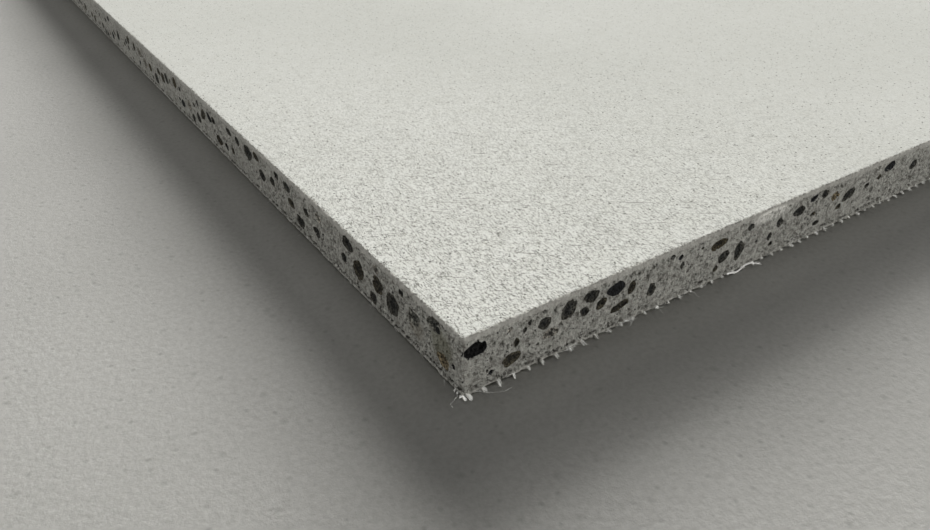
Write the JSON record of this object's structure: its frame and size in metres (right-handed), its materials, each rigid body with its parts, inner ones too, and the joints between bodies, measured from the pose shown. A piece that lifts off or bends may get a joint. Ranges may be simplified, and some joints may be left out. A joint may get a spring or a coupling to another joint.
{
  "type": "cement board",
  "caption": "Flat sawn cement board with porous light aggregate in its cut edges and a glass-yarn mesh just inside its back, for tiling and lining.",
  "frame": {"origin": "middle of the board's back, which is the face it lies on", "axes": "+X along the board's length, +Y along its width and the mesh's yarns, +Z out of the pale face"},
  "size_m": [1.2, 0.903, 0.0125],
  "materials": {
    "cement": "matt, slightly sandy, with dark cut granules in the sawn edges",
    "glass_yarn": "white glass fibre, frayed where it was sawn"
  },
  "bodies": {
    "root": {"cement_slab": "cement", "back_mesh": "glass_yarn"}
  },
  "joints": []
}
